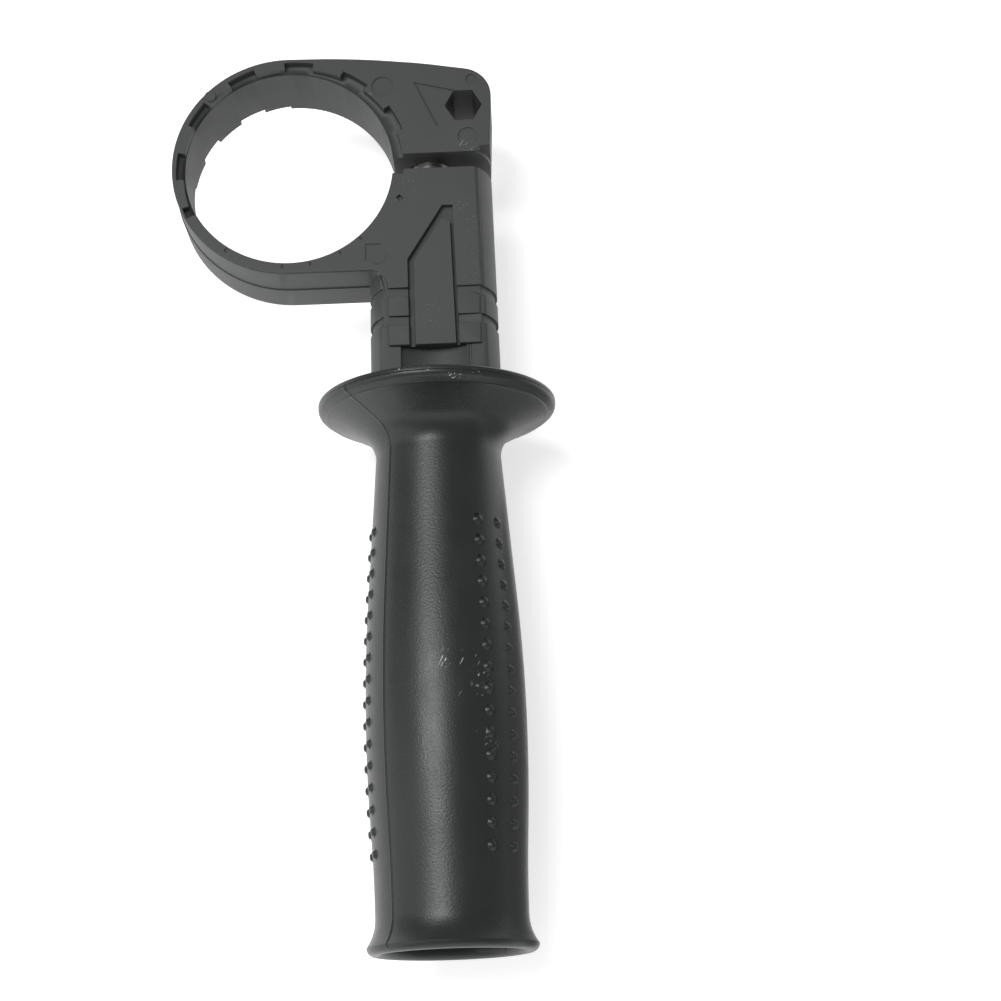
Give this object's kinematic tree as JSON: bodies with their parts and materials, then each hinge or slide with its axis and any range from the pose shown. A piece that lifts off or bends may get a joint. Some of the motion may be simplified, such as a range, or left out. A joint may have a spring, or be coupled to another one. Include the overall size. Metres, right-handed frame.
{
  "type": "power tool side handle",
  "caption": "Auxiliary side handle for a hand-held drill: a split clamp ring with a stop-rod hole, tightened by turning its hollow flanged grip on a bolt.",
  "frame": {"origin": "middle of the clamp ring's bore, at half the ring's thickness", "axes": "+Z along the bore, +Y from the grip towards the lug along the handle, +X from the ring towards the handle"},
  "size_m": [0.0803, 0.1918, 0.05],
  "materials": {
    "clamp_plastic": "fine spark-eroded texture",
    "grip_plastic": "semi-gloss",
    "plated_steel": "zinc plated",
    "brass": "turned"
  },
  "bodies": {
    "clamp": {"clamp_body": "clamp_plastic"},
    "bolt": {"clamp_bolt": "plated_steel"},
    "handle": {"grip": "grip_plastic", "threaded_bush": "brass", "thrust_washer": "plated_steel"}
  },
  "joints": [
    {"name": "grip_turn", "type": "hinge", "parent": "clamp", "child": "handle", "pos_m": [0.03, 0, 0], "axis": [0, -1, 0], "range_deg": [0, 1080]},
    {"name": "bolt_lift", "type": "slide", "parent": "clamp", "child": "bolt", "axis": [0, 1, 0], "range_m": [0, 0.004]}
  ],
  "couplings": [
    {"joint": "bolt_lift", "follows": "grip_turn", "m_per_rad": 0.00019894}
  ]
}
